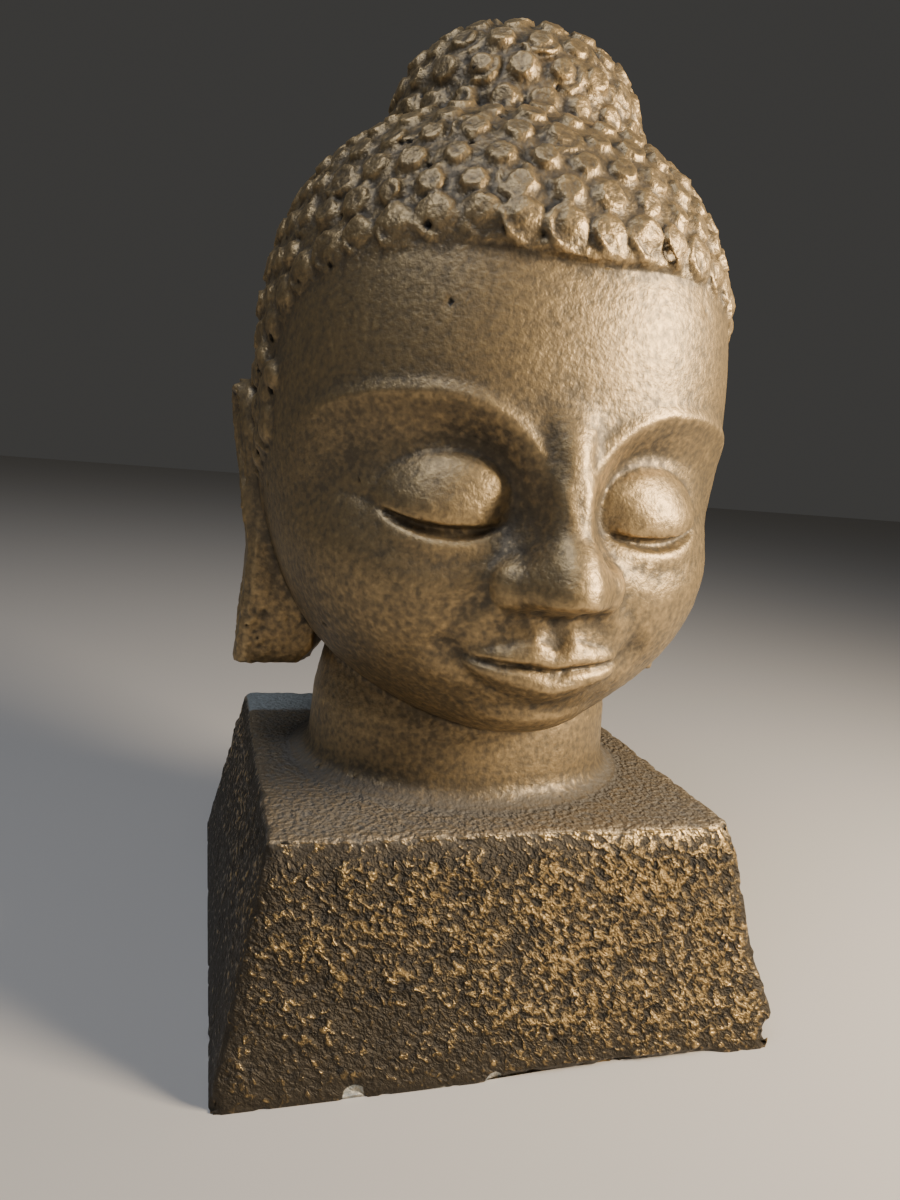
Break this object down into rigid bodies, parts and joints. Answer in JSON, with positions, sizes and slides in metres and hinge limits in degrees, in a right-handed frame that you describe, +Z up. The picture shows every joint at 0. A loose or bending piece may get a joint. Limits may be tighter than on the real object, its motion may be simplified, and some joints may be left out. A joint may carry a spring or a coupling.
{
  "type": "stone buddha head",
  "caption": "Cast-stone Buddha head with rows of snail curls, a topknot and long ear lobes, in one piece with a tapered square plinth.",
  "frame": {"origin": "middle of the plinth's flat underside", "axes": "+Z up, the face looks towards -Y, +X to the viewer's right"},
  "size_m": [0.16, 0.1756, 0.2884],
  "materials": {
    "gilded_cast_stone": "cast stone with a worn antique gold paint, satin"
  },
  "bodies": {
    "root": {"buddha_head_on_plinth": "gilded_cast_stone"}
  },
  "joints": []
}
